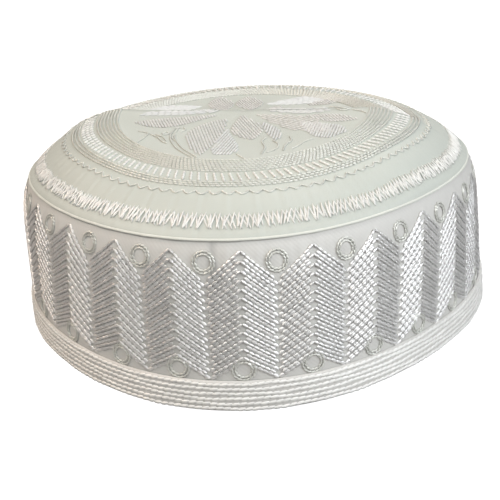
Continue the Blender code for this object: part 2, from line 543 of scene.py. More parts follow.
class StitchTree:
    """Geometry nodes that lay one rounded stitch on each step of every row."""

    SIDES = 6
    RINGS = 4
    SHORTEST = 1.0 * MM
    INPUTS = {
        # the numbers are named as the fields of a Thread
        "Rows": "Geometry",
        "Length": "Float",
        "Width": "Float",
        "Height": "Float",
        "Overlap": "Float",
        "Jitter": "Float",
        "Slant": "Float",
        "Seed": "Int",
        "Material": "Material",
    }

    def __init__(self) -> None:
        """Build the tree once; every embroidered piece shares it."""
        self.tree = bpy.data.node_groups.new("laid_stitches", "GeometryNodeTree")
        self.tree.is_modifier = True
        self.nodes = NodeTree(self.tree)
        add_socket = self.nodes.add_socket
        self.sockets = {name: add_socket(name, kind).identifier for name, kind in self.INPUTS.items()}
        add_socket("Stitches", "Geometry", "OUTPUT")
        self._build()

    def _read(self, name: str) -> Socket:
        """Read a vector that the rows hold under a name."""
        node = self.nodes.add("GeometryNodeInputNamedAttribute", {"Name": name}, data_type="FLOAT_VECTOR")
        return node.outputs["Attribute"]

    def _store(self, geometry: Node, name: str, value: object, kind: str, domain: str) -> Node:
        """Keep a value of each edge, corner or stitch under a name."""
        inputs = {"Geometry": geometry, "Name": name, "Value": value}
        return self.nodes.add("GeometryNodeStoreNamedAttribute", inputs, data_type=kind, domain=domain)

    def _random(self, low: object, high: object, seed: object) -> Socket:
        """Add a random number for each stitch.

        Args:
            low: the least number.
            high: the greatest number.
            seed: the seed.

        Returns:
            The number.
        """
        node = self.nodes.add("FunctionNodeRandomValue", {"Seed": seed}, data_type="FLOAT")
        limits = [socket for socket in node.inputs if socket.type == "VALUE"]
        for socket, source in zip(limits, (low, high)):
            self.nodes.feed(socket, source)
        return next(socket for socket in node.outputs if socket.type == "VALUE")

    def _build(self) -> None:
        """Place and join the nodes: from rows to edges, and from each edge to a stitch."""
        nodes = self.nodes
        given = nodes.add("NodeGroupInput").outputs
        own = nodes.add("GeometryNodeMeshToCurve", {"Mesh": given["Rows"]})
        length = nodes.number("MAXIMUM", given["Length"], self.SHORTEST)
        even = nodes.add("GeometryNodeResampleCurve", {"Curve": own, "Length": length}, mode="LENGTH")
        choice = {"Switch": nodes.number("GREATER_THAN", given["Length"], 0.0), "False": own, "True": even}
        spaced = nodes.add("GeometryNodeSwitch", choice, input_type="GEOMETRY")
        edges = nodes.add("GeometryNodeCurveToMesh", {"Curve": spaced})
        ends = nodes.add("GeometryNodeInputMeshEdgeVertices").outputs
        run = nodes.vector("SUBTRACT", ends["Position 2"], ends["Position 1"])
        edges = self._store(edges, "thread_run", run, "FLOAT_VECTOR", "EDGE")
        points = nodes.add("GeometryNodeMeshToPoints", {"Mesh": edges}, mode="EDGES")
        along = self._read("thread_run")
        turn = nodes.add("FunctionNodeAlignRotationToVector", {"Vector": along}, axis="Z")
        facing = {"Rotation": turn, "Vector": self._read("surface_normal")}
        turn = nodes.add("FunctionNodeAlignRotationToVector", facing, axis="X", pivot_axis="Z")
        upright = (1.0, 0.0, 0.0)
        slant = nodes.add("FunctionNodeAxisAngleToRotation", {"Axis": upright, "Angle": given["Slant"]})
        turns = {"Rotation": turn, "Rotate By": slant}
        turn = nodes.add("FunctionNodeRotateRotation", turns, rotation_space="LOCAL")
        lowest = nodes.number("SUBTRACT", 1.0, given["Jitter"])
        highest = nodes.number("ADD", 1.0, given["Jitter"])
        uneven = self._random(lowest, highest, given["Seed"])
        run_length = nodes.vector("LENGTH", along).outputs["Value"]
        half_height, half_width, half_run = (
            nodes.number("MULTIPLY", whole, 0.5) for whole in (given["Height"], given["Width"], run_length)
        )
        reach = {
            "X": nodes.number("MULTIPLY", half_height, uneven),
            "Y": half_width,
            "Z": nodes.number("MULTIPLY", half_run, given["Overlap"]),
        }
        size = nodes.add("ShaderNodeCombineXYZ", reach)
        ball = {"Segments": self.SIDES, "Rings": self.RINGS, "Radius": 1.0}
        stitch = nodes.add("GeometryNodeMeshUVSphere", ball)
        stitch = self._store(stitch, "UVMap", stitch.outputs["UV Map"], "FLOAT2", "CORNER")
        placing = {"Points": points, "Instance": stitch, "Rotation": turn, "Scale": size}
        laid = nodes.add("GeometryNodeInstanceOnPoints", placing)
        tone = self._random(0.0, 1.0, nodes.number("ADD", given["Seed"], 1.0))
        laid = self._store(laid, "tone", tone, "FLOAT", "INSTANCE")
        laid = nodes.add("GeometryNodeRealizeInstances", {"Geometry": laid})
        laid = nodes.add("GeometryNodeRemoveAttribute", {"Geometry": laid, "Name": "surface_normal"})
        laid = nodes.add("GeometryNodeSetShadeSmooth", {"Geometry": laid})
        laid = nodes.add("GeometryNodeSetMaterial", {"Geometry": laid, "Material": given["Material"]})
        nodes.add("NodeGroupOutput", {"Stitches": laid})

    def lay(self, name: str, book: RowBook, thread: Thread, material: Material) -> Piece:
        """Lay stitches along the rows of a book.

        Args:
            name: the piece's name.
            book: the rows that the stitches follow.
            thread: the stitch's sizes.
            material: the thread's finish.

        Returns:
            The piece, as a plain mesh object.
        """
        guide = book.guide(name + "_rows")
        modifier = guide.modifiers.new("stitches", "NODES")
        modifier.node_group = self.tree
        modifier[self.sockets["Material"]] = material
        for size, value in vars(thread).items():
            modifier[self.sockets[size.title()]] = value
        depsgraph = bpy.context.evaluated_depsgraph_get()
        mesh = bpy.data.meshes.new_from_object(
            guide.evaluated_get(depsgraph), preserve_all_data_layers=True, depsgraph=depsgraph
        )
        mesh.name = name
        guide.modifiers.clear()
        bpy.data.objects.remove(guide)
        return add_object(name, mesh)


class ShaderKit:
    """Shader node groups that several finishes share, built once."""

    THREADS_PER_METRE = 3200.0
    TWILL_STEP = 0.2
    TWILL_DEPTH = 0.6
    FILAMENTS = 14.0
    TWIST = 1.5
    STRAIGHTENED = 0.65
    CLOUD_SIZE = 0.035
    SPECK_SIZE = 0.004
    NOISE_DETAIL = 3.0

    def __init__(self) -> None:
        """Build the groups."""
        self.weave = self._weave()
        self.filament = self._filament()
        self.fibres = self._fibres()
        self.handling = self._handling()

    @staticmethod
    def _group(
        name: str, inputs: dict[str, float | None], outputs: Sequence[str]
    ) -> tuple[NodeTree, bpy.types.NodeOutputs, bpy.types.NodeInputs]:
        """Start a group with named inputs and outputs.

        Args:
            name: the group's name.
            inputs: input names with their starting values; None stands for a vector.
            outputs: names of what it puts out.

        Returns:
            The group's helper, what it is given and what it has to fill.
        """
        nodes = NodeTree(bpy.data.node_groups.new(name, "ShaderNodeTree"))
        for label, value in inputs.items():
            socket = nodes.add_socket(label, "Vector" if value is None else "Float")
            if value is not None:
                socket.default_value = value
        for label in outputs:
            nodes.add_socket(label, "Vector" if label == "Normal" else "Float", "OUTPUT")
        return nodes, nodes.add("NodeGroupInput").outputs, nodes.add("NodeGroupOutput").inputs

    def _weave(self) -> bpy.types.NodeTree:
        """Fine satin weave: long floats in one direction, stepped like a twill.

        Returns:
            The group's tree.
        """
        inputs = {"Vector": None, "Threads per Metre": self.THREADS_PER_METRE}
        nodes, given, result = self._group("satin_weave", inputs, ("Height", "Shade"))
        scaled = nodes.scaled(given["Vector"], given["Threads per Metre"])
        parts = nodes.add("ShaderNodeSeparateXYZ", {0: scaled}).outputs
        along = nodes.number("MULTIPLY", parts["X"], FULL_TURN)
        step = nodes.number("MULTIPLY", parts["Y"], self.TWILL_STEP * FULL_TURN)
        twill = nodes.number("SINE", nodes.weigh(along, self.TWILL_STEP, step))
        height = nodes.weigh(twill, self.TWILL_DEPTH, nodes.number("SINE", along))
        highest = 1.0 + self.TWILL_DEPTH
        raised = nodes.number("ADD", height, highest)
        nodes.feed(result["Height"], height)
        nodes.feed(result["Shade"], nodes.number("MULTIPLY", raised, 0.5 / highest))
        return nodes.tree

    def _filament(self) -> bpy.types.NodeTree:
        """Fine filaments that run along a stitch, from the stitch's own wrap.

        Returns:
            The group's tree.
        """
        inputs = {"Vector": None, "Filaments": self.FILAMENTS, "Twist": self.TWIST}
        nodes, given, result = self._group("filaments", inputs, ("Height",))
        parts = nodes.add("ShaderNodeSeparateXYZ", {0: given["Vector"]}).outputs
        twist = nodes.number("MULTIPLY", parts["Y"], given["Twist"])
        turn = nodes.weigh(parts["X"], given["Filaments"], twist)
        nodes.feed(result["Height"], nodes.number("SINE", nodes.number("MULTIPLY", turn, FULL_TURN)))
        return nodes.tree

    def _fibres(self) -> bpy.types.NodeTree:
        """Shade a stitch as parallel fibres, by taking out most of its lengthwise curve.

        Returns:
            The group's tree.
        """
        inputs = {"Vector": None, "Normal": None, "Share": self.STRAIGHTENED}
        nodes, given, result = self._group("parallel_fibres", inputs, ("Normal",))
        run = nodes.vector("NORMALIZE", given["Vector"])
        lengthwise = nodes.vector("DOT_PRODUCT", given["Normal"], run).outputs["Value"]
        part = nodes.scaled(run, nodes.number("MULTIPLY", lengthwise, given["Share"]))
        even = nodes.vector("SUBTRACT", given["Normal"], part)
        nodes.feed(result["Normal"], nodes.vector("NORMALIZE", even))
        return nodes.tree

    def _handling(self) -> bpy.types.NodeTree:
        """Soft mottling from storage and handling, from large clouds and small specks.

        Returns:
            The group's tree.
        """
        sizes = {"Cloud": self.CLOUD_SIZE, "Speck": self.SPECK_SIZE}
        inputs = {"Vector": None, **{f"{name} Size": size for name, size in sizes.items()}}
        nodes, given, result = self._group("handling", inputs, tuple(sizes))
        for name in sizes:
            scale = nodes.number("DIVIDE", 1.0, given[f"{name} Size"])
            noise = {"Vector": given["Vector"], "Scale": scale, "Detail": self.NOISE_DETAIL}
            nodes.feed(result[name], nodes.add("ShaderNodeTexNoise", noise))
        return nodes.tree


class Finish:
    """What every finish shares: a material with a Principled shader, and how its sockets are filled."""

    name: str

    def make(self, kit: ShaderKit) -> Material:
        """Build the material.

        Args:
            kit: the shared groups.

        Returns:
            The material.
        """
        material = bpy.data.materials.new(self.name)
        material.use_nodes = True
        nodes = NodeTree(material.node_tree)
        shader = material.node_tree.nodes["Principled BSDF"]
        for socket, source in self.looks(nodes, kit).items():
            nodes.feed(shader.inputs[socket], source)
        return material

    def looks(self, nodes: NodeTree, kit: ShaderKit) -> dict[str, object]:
        """Return what goes into the shader's sockets; each finish has its own."""
        raise NotImplementedError


@dataclass(frozen=True)
class ClothFinish(Finish):
    """Off-white satin cloth with a fine weave, soft mottling, and painted shade that darkens it along a
    crease or a join.
    """

    name: str
    light: Colour
    deep: Colour
    roughness: float = 0.5
    mottled_roughness: float = 0.16
    sheen: float = 0.15
    sheen_roughness: float = 0.4
    cloud_share: float = 0.8
    weave_share: float = 0.12
    fold_tone: float = 0.62
    fold_share: float = 0.55
    weave_depth: float = 0.00002
    weave_strength: float = 0.5
    speck_height: float = 3.0

    def looks(self, nodes: NodeTree, kit: ShaderKit) -> dict[str, object]:
        """Return the cloth's colour, shine and weave.

        Args:
            nodes: the material's tree.
            kit: the shared groups.

        Returns:
            What goes into each socket of the shader.
        """
        place = nodes.add("ShaderNodeTexCoord").outputs
        weave = nodes.group(kit.weave, Vector=place["UV"])
        handling = nodes.group(kit.handling, Vector=place["Object"])
        woven = nodes.number("MULTIPLY", weave["Shade"], self.weave_share)
        share = nodes.weigh(handling["Cloud"], self.cloud_share, woven)
        # Painted shade: where the fold attribute is high, at the crown's crease and the band's join, the
        # colour is pulled towards a darker tone of the deep colour.
        folded = tuple(self.fold_tone * channel for channel in self.deep)
        fold = nodes.number("MULTIPLY", nodes.attribute("fold")["Fac"], self.fold_share)
        relief = {
            "Distance": self.weave_depth,
            "Strength": self.weave_strength,
            "Height": nodes.weigh(handling["Speck"], self.speck_height, weave["Height"]),
        }
        smoothest = self.roughness - self.mottled_roughness / 2
        return {
            "Base Color": nodes.blend(fold, nodes.blend(share, self.deep, self.light), folded),
            "Roughness": nodes.weigh(handling["Speck"], self.mottled_roughness, smoothest),
            "Sheen Weight": self.sheen,
            "Sheen Roughness": self.sheen_roughness,
            "Normal": nodes.add("ShaderNodeBump", relief),
        }


@dataclass(frozen=True)
class ThreadFinish(Finish):
    """Glossy white embroidery thread; each stitch differs a little."""

    name: str
    light: Colour
    deep: Colour
    roughness: float
    metallic: float
    uneven_roughness: float = 0.1
    specular: float = 0.6
    tone_share: float = 0.6
    filament_depth: float = 0.00004
    filament_strength: float = 0.4

    def looks(self, nodes: NodeTree, kit: ShaderKit) -> dict[str, object]:
        """Return the thread's colour, shine and filaments.

        Args:
            nodes: the material's tree.
            kit: the shared groups.

        Returns:
            What goes into each socket of the shader.
        """
        place = nodes.add("ShaderNodeTexCoord").outputs
        tone = nodes.attribute("tone")["Fac"]
        handling = nodes.group(kit.handling, Vector=place["Object"])
        mottled = nodes.number("MULTIPLY", handling["Cloud"], 1.0 - self.tone_share)
        share = nodes.weigh(tone, self.tone_share, mottled)
        relief = {
            "Distance": self.filament_depth,
            "Strength": self.filament_strength,
            "Height": nodes.group(kit.filament, Vector=place["UV"])["Height"],
        }
        run = nodes.attribute("thread_run")["Vector"]
        fibres = nodes.group(kit.fibres, Vector=run, Normal=nodes.add("ShaderNodeBump", relief))
        smoothest = self.roughness - self.uneven_roughness / 2
        return {
            "Base Color": nodes.blend(share, self.deep, self.light),
            "Roughness": nodes.weigh(tone, self.uneven_roughness, smoothest),
            "Metallic": self.metallic,
            "Specular IOR Level": self.specular,
            "Normal": fibres["Normal"],
        }


class ClothMesh:
    """Makes closed cloth walls from loops of points that follow the cap round."""

    SEGMENTS = 528
    SHARP_EDGE = math.radians(50.0)

    def __init__(self, form: CapForm) -> None:
        """Keep the form; one segment lies along each half of the crease, as in the solids.

        Args:
            form: the cap's form, which gives the crease's slope.
        """
        self.form = form
        start = math.atan(form.crease_slope)
        self.angles = start + FULL_TURN * np.arange(self.SEGMENTS) / self.SEGMENTS

    def wall(self, name: str, loops: Sequence[Array], girths: Sequence[float], closed: bool = True) -> Piece:
        """Join loops into a cloth wall.

        Args:
            name: the piece's name.
            loops: rings of points, in order across the cloth.
            girths: each loop's place across the cloth, for its cloth map.
            closed: whether the last loop meets the first; otherwise both ends close at a point.

        Returns:
            The wall as an object.
        """
        count = self.SEGMENTS
        around = self.form.seam_radius * FULL_TURN / count
        ring = np.arange(count)
        right = (ring + 1) % count
        points = np.vstack(loops)
        corners_u = np.stack([ring, ring + 1, ring + 1, ring], axis=1) * around
        faces, uvs = [], []
        for row in range(len(loops) if closed else len(loops) - 1):
            low, high = row * count, (row + 1) % len(loops) * count
            faces += np.stack([low + ring, low + right, high + right, high + ring], axis=1).tolist()
            corners_v = np.broadcast_to(np.repeat(girths[row : row + 2], 2), corners_u.shape)
            uvs += np.stack([corners_u, corners_v], axis=-1).ravel().tolist()
        for row in () if closed else (0, len(loops) - 1):
            middle = np.full(count, len(points))
            fan = np.stack([row * count + ring, row * count + right, middle], axis=1)
            faces += (fan if row else fan[:, ::-1]).tolist()
            points = np.vstack([points, loops[row].mean(axis=0)])
            uvs += [0.0, girths[row], around, girths[row], 0.0, girths[row]] * count
        mesh = bpy.data.meshes.new(name)
        mesh.from_pydata(points.tolist(), [], faces)
        mesh.uv_layers.new(name="UVMap").data.foreach_set("uv", np.array(uvs, np.float32))
        mesh.shade_smooth()
        mesh.set_sharp_from_angle(angle=self.SHARP_EDGE)
        return add_object(name, mesh)


def mark_painted_shade(piece: Piece, amount: Array) -> None:
    """Store the painted shade at each point of a cloth, from 0 to 1, for its finish: shade painted along a
    crease or a join.
    """
    fold = piece.data.attributes.new("fold", "FLOAT", "POINT")
    fold.data.foreach_set("value", np.asarray(amount, np.float32))


@dataclass
class Workshop:
    """What every sub-assembly works with: the form, the cloth maker, the stitches and the finishes."""

    form: CapForm
    cloth: ClothMesh
    stitches: StitchTree
    materials: dict[Enum, Material]

    def dress(self, piece: Piece, slot: Slot, *replaced: str) -> Piece:
        """Give a cloth its finish and tell the frame where a piece belongs.

        Args:
            piece: the finished piece.
            slot: the record's material slot.
            *replaced: nodes that it stands for.

        Returns:
            The piece.
        """
        if not piece.data.materials:
            piece.data.materials.append(self.materials[slot])
        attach(piece, BODY)
        if replaced:
            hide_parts(*replaced)
        triangles = sum(len(polygon.vertices) - 2 for polygon in piece.data.polygons)
        LOG.info("%s: %d triangles", piece.name, triangles)
        return piece

    def embroider(self, name: str, book: RowBook, thread: Thread, yarn: Yarn, slot: Slot) -> Piece:
        """Lay stitches of a yarn on the rows of a book and dress them."""
        return self.dress(self.stitches.lay(name, book, thread, self.materials[yarn]), slot)


@dataclass(frozen=True)
class ChevronLayout:
    """Where the chevron columns stand round the band; those behind are spread evenly."""

    peaks: tuple[tuple[int, float, float], ...] = (
        # peak, degrees from the front at its top and at its foot
        (0, -63.5, -63.5),
        (1, -46.2, -47.1),
        (2, -30.8, -30.2),
        (3, -17.5, -16.5),
        (4, -2.9, -3.3),
        (5, 12.2, 10.7),
        (6, 27.9, 25.4),
        (7, 44.1, 39.7),
        (8, 59.9, 54.7),
        (12, 123.0, 120.0),
        (16, 186.1, 186.1),
    )
    periods: int = 23
    valley_share: float = 0.49
    top_height: float = 55.0 * MM
    foot_height: float = 14.5 * MM

    def angle(self, place: Array, height: Array) -> Array:
        """Angle of a column line at a height.

        Args:
            place: which line, counted in periods from the first peak.
            height: height on the band.

        Returns:
            The angle round the cap.
        """
        place, height = np.broadcast_arrays(place, height)
        closing = [(self.periods, 360.0 + self.peaks[0][1], 360.0 + self.peaks[0][2])]
        peaks, tops, feet = np.array(list(self.peaks) + closing).T
        turns = np.floor(place / self.periods)
        place = place - turns * self.periods
        top, foot = np.interp(place, peaks, tops), np.interp(place, peaks, feet)
        down = (self.top_height - height) / (self.top_height - self.foot_height)
        return FRONT + np.radians(top + (foot - top) * down + 360.0 * turns)


@dataclass
class SideBand:
    """The embroidered upright wall: its cloth, chevron columns and eyelet rings."""

    shop: Workshop
    layout: ChevronLayout = ChevronLayout()
    cloth_loops: int = 40
    inner_loop_step: int = 3
    edge_drop: float = 0.3 * MM
    plan_girth_share: float = 1.03
    puckers: Waves = ((71, 0.09 * MM, 0.3), (113, 0.07 * MM, 1.9), (167, 0.05 * MM, 4.0))
    pucker_height: float = 42.0 * MM
    pucker_rise: float = 8.0 * MM
    pucker_fall: float = 3.0 * MM
    join_angle: float = FRONT + math.radians(-8.6)
    join_depth: float = 0.45 * MM
    join_width: float = math.radians(0.7)
    row_pairs: int = 13
    row_points: int = 6
    peak_top: float = 57.0 * MM
    valley_top: float = 46.8 * MM
    peak_foot: float = 18.9 * MM
    valley_foot: float = 12.3 * MM
    right_drop: float = 1.8 * MM
    row_length: float = 15.0 * MM
    row_end_gap: float = 0.1 * MM
    brick_shift: float = 1.3 * MM
    raised_lift: float = 0.38 * MM
    flat_lift: float = 0.15 * MM
    raised_thread: Thread = Thread(2.0 * MM, 1.15 * MM, 0.95 * MM, overlap=1.08, jitter=0.12, seed=11)
    flat_thread: Thread = Thread(2.0 * MM, 1.7 * MM, 0.65 * MM, overlap=1.1, jitter=0.12, seed=12)
    ring_thread: Thread = Thread(1.4 * MM, 0.9 * MM, 0.65 * MM, overlap=1.2, slant=0.3, seed=23)
    ring_points: int = 24
    ring_lift: float = 0.28 * MM
    upper_ring_height: float = 53.4 * MM
    lower_ring_height: float = 14.9 * MM
    upper_ring_radii: tuple[float, ...] = (3.55 * MM, 2.65 * MM)
    lower_ring_radii: tuple[float, ...] = (3.75 * MM, 2.8 * MM)

    def make_cloth(self) -> Piece:
        """Make the band's cloth wall, a little puckered above the chevrons.

        Returns:
            The cloth.
        """
        form, maker = self.shop.form, self.shop.cloth
        angles = maker.angles
        top = form.seam_height - self.edge_drop
        heights = np.append(np.linspace(form.band_bottom, form.band_top, self.cloth_loops), top)
        # Painted shade along the band's join: besides the small groove, the cloth's colour is darkened
        # there.
        from_join = np.angle(np.exp(1j * (angles - self.join_angle))) / self.join_width
        join = np.exp(-(from_join**2))
        pucker = ripples(angles, self.puckers) - self.join_depth * join
        loops, girths, painted_shades = [], [], []
        for height in heights:
            fade = smooth_step((height - self.pucker_height) / self.pucker_rise)
            fade = fade * smooth_step((form.band_top - height) / self.pucker_fall)
            loops.append(form.plan(form.band_radius(height) + fade * pucker, height, angles))
            girths.append(float(height))
            painted_shades.append(join)
        for height in heights[:: -self.inner_loop_step]:
            loops.append(form.plan(form.band_radius(height) - form.band_thickness, height, angles))
            girths.append(2.0 * top - float(height))
            painted_shades.append(0.0 * join)
        piece = maker.wall("side_band_cloth", loops, girths + [2.0 * top])
        mark_painted_shade(piece, np.concatenate(painted_shades))
        return self.shop.dress(piece, Slot.BAND, "side_band")

    def lowered(self, height: Array, angle: Array) -> Array:
        """Lower a height a little on the cap's right side, where the pattern sits lower."""
        return height - self.right_drop * (0.5 + 0.5 * np.cos(angle))

    def column_rows(self, rising: bool, raised: bool) -> RowBook:
        """Lay the slanted rows of every column that rises, or of every one that falls.

        Args:
            rising: True for the columns left of a peak, seen from outside.
            raised: True for the narrow raised row of each pair, False for the flat one.

        Returns:
            The rows.
        """
        book = RowBook(self.shop.form)
        side = self.layout.valley_share - (1.0 if rising else 0.0)
        start = self.row_end_gap + (0.0 if raised else self.brick_shift)
        end = self.row_end_gap + (self.brick_shift if raised else 0.0)
        share = np.linspace(start / self.row_length, 1.0 - end / self.row_length, self.row_points)
        lift = self.raised_lift if raised else self.flat_lift
        for period, pair in itertools.product(range(self.layout.periods), range(self.row_pairs)):
            step = (pair + (0.0 if raised else 0.5)) / (self.row_pairs - 0.5)
            peak = self.peak_top + (self.peak_foot - self.peak_top) * step
            low = self.valley_top + (self.valley_foot - self.valley_top) * step
            height = peak + (low - peak) * share
            angle = self.layout.angle(period + side * share, height)
            book.add(Face.BAND, angle, self.lowered(height, angle), lift)
        return book

    def make_columns(self) -> list[Piece]:
        """Make the rising and the falling columns, their raised and their flat rows apart.

        Returns:
            The pieces.
        """
        threads = {"raised": self.raised_thread, "flat": self.flat_thread}
        pieces = []
        for way, kind in itertools.product(("rising", "falling"), threads):
            book = self.column_rows(way == "rising", kind == "raised")
            name = f"{way}_{kind}_rows"
            pieces.append(self.shop.embroider(name, book, threads[kind], Yarn.SATIN, Slot.BAND))
        return pieces

    def make_rings(self) -> list[Piece]:
        """Make the stitched eyelet rings in the valleys and under the peaks.

        Returns:
            The pieces.
        """
        plan = (
            # name, first place, height, radii
            ("upper_rings", self.layout.valley_share, self.upper_ring_height, self.upper_ring_radii),
            ("lower_rings", 0.0, self.lower_ring_height, self.lower_ring_radii),
        )
        turn = np.linspace(0.0, FULL_TURN, self.ring_points, endpoint=False)
        pieces = []
        for name, first, centre, radii in plan:
            book = RowBook(self.shop.form)
            around = float(self.shop.form.band_radius(centre))
            for period, radius in itertools.product(range(self.layout.periods), radii):
                middle = float(self.layout.angle(period + first, centre))
                height = self.lowered(centre, middle) if first else centre
                angle = middle + radius * np.cos(turn) / around
                book.add(Face.BAND, angle, height + radius * np.sin(turn), self.ring_lift, closed=True)
            pieces.append(self.shop.embroider(name, book, self.ring_thread, Yarn.FINE, Slot.BAND))
        return pieces

    def build(self) -> None:
        """Build the whole band."""
        cloth = self.make_cloth()
        trims = self.make_columns() + self.make_rings()


@dataclass
class Hem:
    """The turned hem and the parallel rows of cord-like stitching round it."""

    shop: Workshop
    flat_height: float = 27.0 * MM
    rows: int = 6
    row_points: int = 360
    row_start: float = 0.37
    row_lift: float = -0.2 * MM
    first_row: float = 0.1 * MM
    stitched_height: float = 10.8 * MM
    edge_above_rows: float = 0.2 * MM
    foot_bevel: Point = (0.2 * MM, 0.25 * MM)
    wall_loops: tuple[float, ...] = (0.33, 0.66, 1.0)
    wavers: tuple[Point, ...] = ((17, 0.14 * MM), (43, 0.10 * MM))
    waver_steps: Point = (1.7, 2.3)
    thread: Thread = Thread(2.5 * MM, 1.5 * MM, 1.35 * MM, overlap=1.4, jitter=0.2, slant=0.22, seed=31)

    def section(self) -> list[Point]:
        """Work out the channel of cloth, from its foot up, over and back.

        Returns:
            The radius and height of each loop.
        """
        form = self.shop.form
        foot, top = float(form.hem_radius(0.0)), float(form.hem_radius(form.hem_height))
        band_foot = float(form.band_radius(form.band_bottom))
        band_top = float(form.band_radius(form.hem_height))
        rounding = form.hem_edge_rounding
        edge = self.stitched_height + self.edge_above_rows
        rise = edge - 1.5 * rounding
        bevel, bevel_height = self.foot_bevel
        channel = form.band_thickness + form.gap
        inside = channel + form.hem_thickness
        return [
            (foot - rounding, 0.0),
            (foot - bevel, bevel_height),
            (foot, rounding),
            *((foot + (top - foot) * share, rounding + rise * share) for share in self.wall_loops),
            (top - rounding / 2, edge),
            (band_top + form.gap, edge),
            (band_foot + form.gap, form.band_bottom - form.gap),
            (band_foot - channel, form.band_bottom - form.gap),
            (band_top - channel, form.hem_height),
            (band_top - inside, form.hem_height),
            (band_foot - inside, rounding),
            (band_foot - inside + rounding / 2, 0.0),
        ]

    def make_cloth(self) -> Piece:
        """Make the channel of cloth that wraps the band's lower edge.

        Returns:
            The cloth.
        """
        maker, section = self.shop.cloth, self.section()
        loops = [self.shop.form.plan(radius, height, maker.angles) for radius, height in section]
        steps = [0.0] + [math.dist(a, b) for a, b in zip(section, section[1:] + section[:1])]
        piece = maker.wall("hem_cloth", loops, list(np.cumsum(steps)))
        return self.shop.dress(piece, Slot.HEM, "hem_band")

    def make_cords(self) -> Piece:
        """Make the rows of stitching that lie side by side round the hem.

        Returns:
            The stitches.
        """
        book = RowBook(self.shop.form)
        pitch = self.stitched_height / self.rows
        angles = np.linspace(0.0, FULL_TURN, self.row_points, endpoint=False)
        for row in range(self.rows):
            start = angles + row * self.row_start
            waves = [(*waver, row * step) for waver, step in zip(self.wavers, self.waver_steps)]
            height = pitch * (row + 0.5) + self.first_row + ripples(start, waves)
            book.add(Face.HEM, start, height, self.row_lift, closed=True)
        return self.shop.embroider("hem_cords", book, self.thread, Yarn.CORD, Slot.HEM)

    def build(self) -> None:
        """Build the hem."""
        cloth, cords = self.make_cloth(), self.make_cords()
        flat = (FULL_TURN * float(self.shop.form.hem_radius(0.0)), self.flat_height)


@dataclass
class Piping:
    """The thin folded edge that is sewn in between the band and the crown."""

    shop: Workshop
    sides: int = 10
    squareness: float = 0.6
    waves: Waves = ((37, 0.05 * MM, 0.4), (61, 0.04 * MM, 2.2))

    def build(self) -> Piece:
        """Build the folded edge; it is sewn to the crown's cloth and goes with it.

        Returns:
            The folded edge.
        """
        form, maker = self.shop.form, self.shop.cloth
        fold = form.seam_radius + form.piping_proud
        inner = form.seam_radius - form.band_thickness
        middle, reach = (fold + inner) / 2, (fold - inner) / 2
        waver = ripples(maker.angles, self.waves)
        loops = []
        for turn in np.linspace(0.0, FULL_TURN, self.sides, endpoint=False):
            squared = math.copysign(abs(math.cos(turn)) ** self.squareness, math.cos(turn))
            height = form.seam_height + 0.5 * form.piping_thickness * math.sin(turn)
            loops.append(form.plan(middle + reach * squared + waver, height, maker.angles))
        girths = [reach * 4.0 * side / self.sides for side in range(self.sides + 1)]
        return self.shop.dress(maker.wall("seam_edge", loops, girths), Slot.PIPING, "seam_piping")


@dataclass(frozen=True)
class Leaf:
    """A leaf of the rosette, filled with parallel rows, in millimetres on the crown's plan."""

    base: Point
    tip: Point
    left: float
    right: float
    thread_angle: float
    widest: float = 0.55
    cut: float = 1.0
    spacing: float = 1.15
    fullness: float = 0.8
    outline_points: int = 25
    first_row: float = 0.3
    shortest_row: float = 1.2
    row_points: int = 4

    def outline(self) -> Array:
        """Draw the leaf; a cut leaf ends straight before its tip.

        Returns:
            The points of its closed outline.
        """
        base, tip = np.array(self.base), np.array(self.tip)
        along = (tip - base) / np.linalg.norm(tip - base)
        across = np.array([-along[1], along[0]])
        share = np.linspace(0.0, self.cut, self.outline_points)
        power = math.log(0.5) / math.log(self.widest)
        width = np.sin(math.pi * share**power) ** self.fullness
        middle = base + share[:, None] * (tip - base)
        one_side = middle + across * (self.left * width)[:, None]
        other_side = middle - across * (self.right * width)[:, None]
        return np.vstack([one_side, other_side[::-1]])

    def rows(self) -> list[Array]:
        """Fill the leaf with parallel rows.

        Returns:
            The rows, each as a few points in metres.
        """
        outline = self.outline()
        angle = math.radians(self.thread_angle)
        thread = np.array([math.cos(angle), math.sin(angle)])
        normal = np.array([-thread[1], thread[0]])
        along, offset = outline @ thread, outline @ normal
        next_along, next_offset = np.roll(along, -1), np.roll(offset, -1)
        rows = []
        for line in np.arange(offset.min() + self.first_row, offset.max(), self.spacing):
            crossed = (offset - line) * (next_offset - line) < 0.0
            share = (line - offset[crossed]) / (next_offset[crossed] - offset[crossed])
            cuts = np.sort(along[crossed] + share * (next_along[crossed] - along[crossed]))
            for start, end in zip(cuts[::2], cuts[1::2]):
                if end - start > self.shortest_row:
                    steps = np.linspace(start, end, self.row_points)[:, None]
                    rows.append((normal * line + thread * steps) * MM)
        return rows


